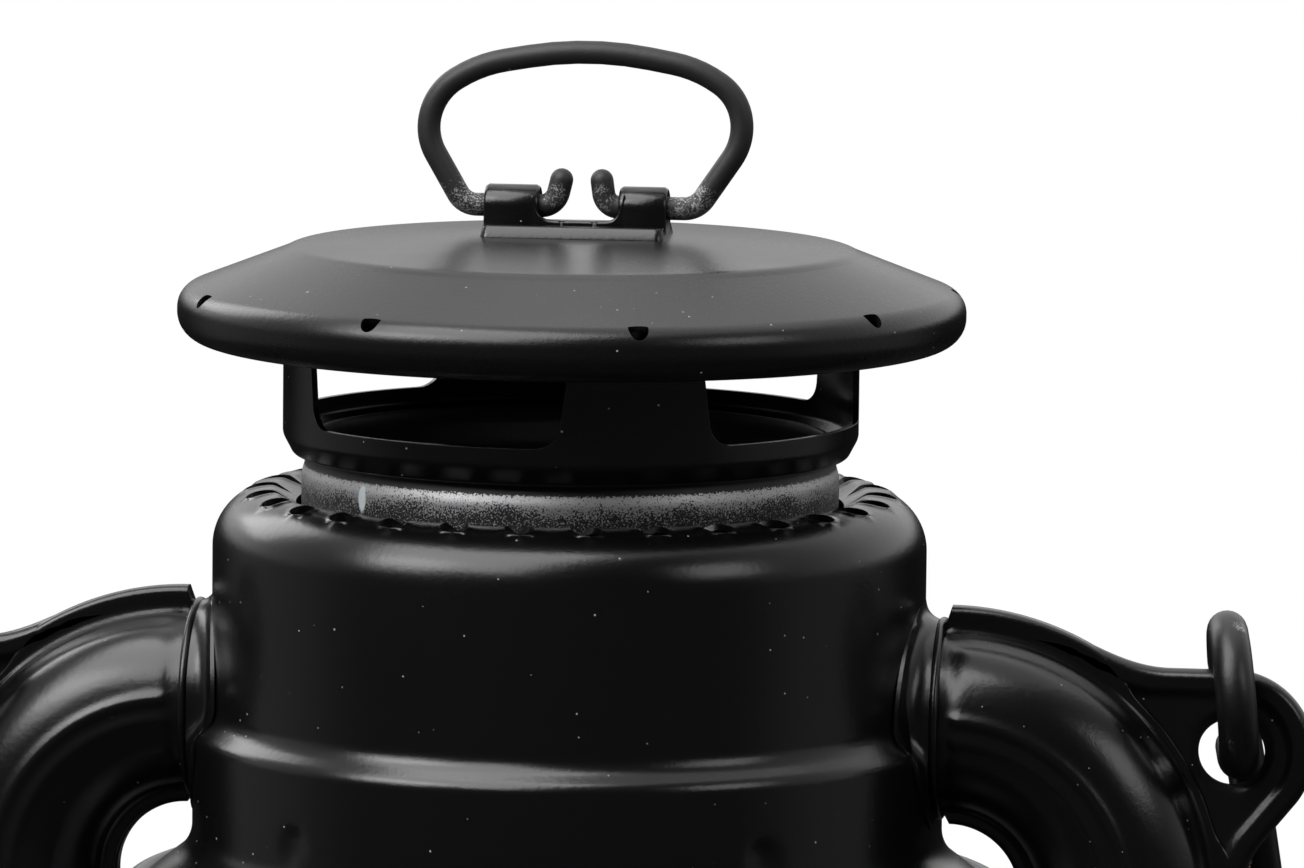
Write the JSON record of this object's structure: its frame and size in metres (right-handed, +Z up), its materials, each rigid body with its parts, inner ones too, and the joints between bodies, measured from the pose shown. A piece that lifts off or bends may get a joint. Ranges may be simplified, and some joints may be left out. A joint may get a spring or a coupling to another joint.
{
  "type": "hurricane lantern",
  "caption": "Wick lantern of pressed sheet steel: round fuel tank, hollow side tubes, glass globe in a wire guard, lifting chimney with vent cap and ring, wire bail.",
  "frame": {"origin": "centre of the base, on the surface that the foot ring stands on", "axes": "+Z up, X along the line of the two side tubes with the lever on the +X tube, -Y the front with the filler cap and the wick knob"},
  "size_m": [0.142, 0.1152, 0.2646],
  "materials": {
    "black_enamel": "satin",
    "wire_enamel": "satin, worn",
    "bare_steel": "bare, speckled",
    "inner_steel": "dull",
    "burner_brass": "satin",
    "wick_cotton": "woven",
    "gasket_rubber": "matte",
    "clear_glass": "clear"
  },
  "bodies": {
    "frame": {"tank_shell": "black_enamel", "base_pan": "black_enamel", "air_pan": "inner_steel", "burner_collar": "burner_brass", "burner_base": "burner_brass", "burner_basket": "burner_brass", "burner_drum": "black_enamel", "wick_tube": "burner_brass", "burner_cone": "burner_brass", "filler_neck": "black_enamel", "hood": "black_enamel", "left_tube_front": "black_enamel", "left_tube_rear": "black_enamel", "right_tube_front": "black_enamel", "right_tube_rear": "black_enamel", "left_tube_collar": "black_enamel", "right_tube_collar": "black_enamel", "front_guard": "wire_enamel", "rear_guard": "wire_enamel", "lever_lugs": "black_enamel", "lever_rivets": "bare_steel"},
    "globe_carrier": {"globe_plate": "black_enamel", "globe": "clear_glass"},
    "chimney": {"chimney_sleeve": "bare_steel", "chimney_stop_ring": "inner_steel", "chimney_crown": "black_enamel", "cap": "black_enamel", "ring_bracket": "black_enamel"},
    "ring": {"ring_handle": "wire_enamel"},
    "bail": {"bail_handle": "wire_enamel"},
    "lever": {"lift_lever": "wire_enamel"},
    "wick_drive": {"wick_shaft": "bare_steel", "wick_wheels": "burner_brass", "wick_knob": "burner_brass"},
    "wick": {"wick": "wick_cotton"},
    "filler_seal": {"filler_gasket": "gasket_rubber"},
    "filler_cap": {"filler_cap": "black_enamel"}
  },
  "joints": [
    {"name": "globe_lift", "type": "slide", "parent": "frame", "child": "globe_carrier", "axis": [0, 0, 1], "range_m": [0, 0.0095]},
    {"name": "lever_turn", "type": "hinge", "parent": "frame", "child": "lever", "pos_m": [0.04537, 0, 0.07071], "axis": [0, 1, 0], "range_deg": [0, 30]},
    {"name": "chimney_lift", "type": "slide", "parent": "globe_carrier", "child": "chimney", "axis": [0, 0, 1], "range_m": [0, 0.008]},
    {"name": "ring_fold", "type": "hinge", "parent": "chimney", "child": "ring", "pos_m": [0, 0, 0.2489], "axis": [1, 0, 0], "range_deg": [-85, 85]},
    {"name": "bail_swing", "type": "hinge", "parent": "frame", "child": "bail", "pos_m": [0, 0, 0.20404], "axis": [1, 0, 0], "range_deg": [0, 240]},
    {"name": "wick_turn", "type": "hinge", "parent": "frame", "child": "wick_drive", "pos_m": [0.00325, 0.00325, 0.058], "axis": [0.7071, -0.7071, 0], "range_deg": [-79, 190]},
    {"name": "wick_rise", "type": "slide", "parent": "frame", "child": "wick", "axis": [0, 0, 1], "range_m": [-0.012, 0.005]},
    {"name": "cap_lift", "type": "slide", "parent": "frame", "child": "filler_seal", "axis": [-0.2185, -0.2185, 0.9511], "range_m": [0, 0.025]},
    {"name": "cap_turn", "type": "hinge", "parent": "filler_seal", "child": "filler_cap", "pos_m": [-0.02899, -0.02899, 0.04526], "axis": [-0.2185, -0.2185, 0.9511], "continuous": true}
  ],
  "couplings": [
    {"joint": "lever_turn", "follows": "globe_lift", "rad_per_m": 55.1},
    {"joint": "wick_rise", "follows": "wick_turn", "m_per_rad": -0.0036}
  ]
}
